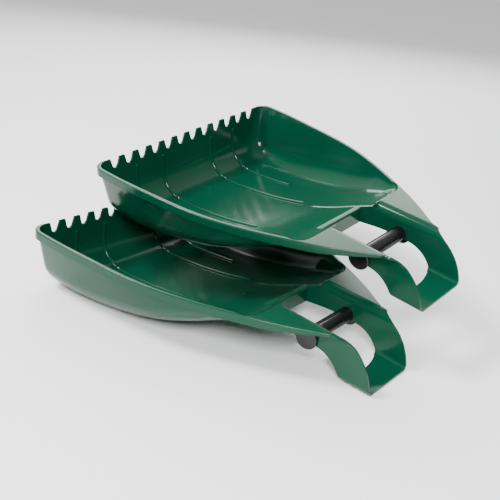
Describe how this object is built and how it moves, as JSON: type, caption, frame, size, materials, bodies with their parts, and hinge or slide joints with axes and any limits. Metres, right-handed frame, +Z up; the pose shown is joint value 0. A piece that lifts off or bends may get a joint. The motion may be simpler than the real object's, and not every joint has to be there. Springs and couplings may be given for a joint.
{
  "type": "leaf grabber hands",
  "caption": "Pair of toothed hand scoops for picking up leaves, each with a ribbed grip bar and a wrist cuff, one lying on the other.",
  "frame": {"origin": "centre of the pair's footprint, on the ground plane that the lower hand rests on", "axes": "+Z up, -X towards the toothed edges, +X towards the wrist cuffs, +Y across, towards the side that the upper hand is shifted to"},
  "size_m": [0.461, 0.4386, 0.2007],
  "materials": {
    "scoop_plastic": "glossy injection-moulded polypropylene, satin on the flat rim and arms",
    "grip_plastic": "black ribbed plastic, low sheen"
  },
  "bodies": {
    "lower_hand": {"lower_scoop": "scoop_plastic", "lower_grip": "grip_plastic"},
    "upper_hand": {"upper_scoop": "scoop_plastic", "upper_grip": "grip_plastic"}
  },
  "joints": [
    {"name": "upper_hand_lift", "type": "slide", "parent": "lower_hand", "child": "upper_hand", "axis": [0, 0, 1], "range_m": [0, 0.3]}
  ]
}
